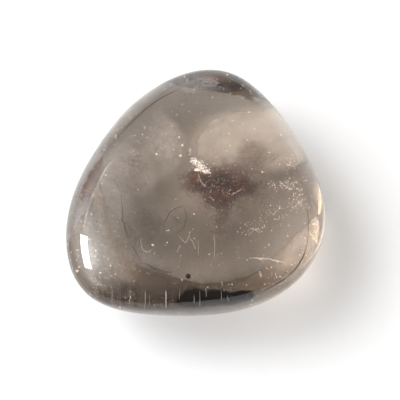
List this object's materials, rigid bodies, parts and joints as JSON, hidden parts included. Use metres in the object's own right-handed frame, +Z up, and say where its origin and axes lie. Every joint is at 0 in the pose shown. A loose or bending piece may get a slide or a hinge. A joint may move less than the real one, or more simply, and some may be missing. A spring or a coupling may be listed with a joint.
{
  "type": "tumbled smoky quartz stone",
  "caption": "Polished pebble of see-through brown-grey quartz, a rounded triangle in plan with a domed top, undercut sides and a small flat underneath to rest on.",
  "frame": {"origin": "middle of the stone's plan box, at the height of the flat it rests on", "axes": "+Z up from the rest flat, through the stone's thickness; the long straight flank looks along -Y and the rounded point of the triangle along +Y; +X to the right as seen from -Y"},
  "size_m": [0.0322, 0.0328, 0.0171],
  "materials": {
    "smoky_quartz": "polished"
  },
  "bodies": {
    "root": {"tumbled_stone": "smoky_quartz"}
  },
  "joints": []
}
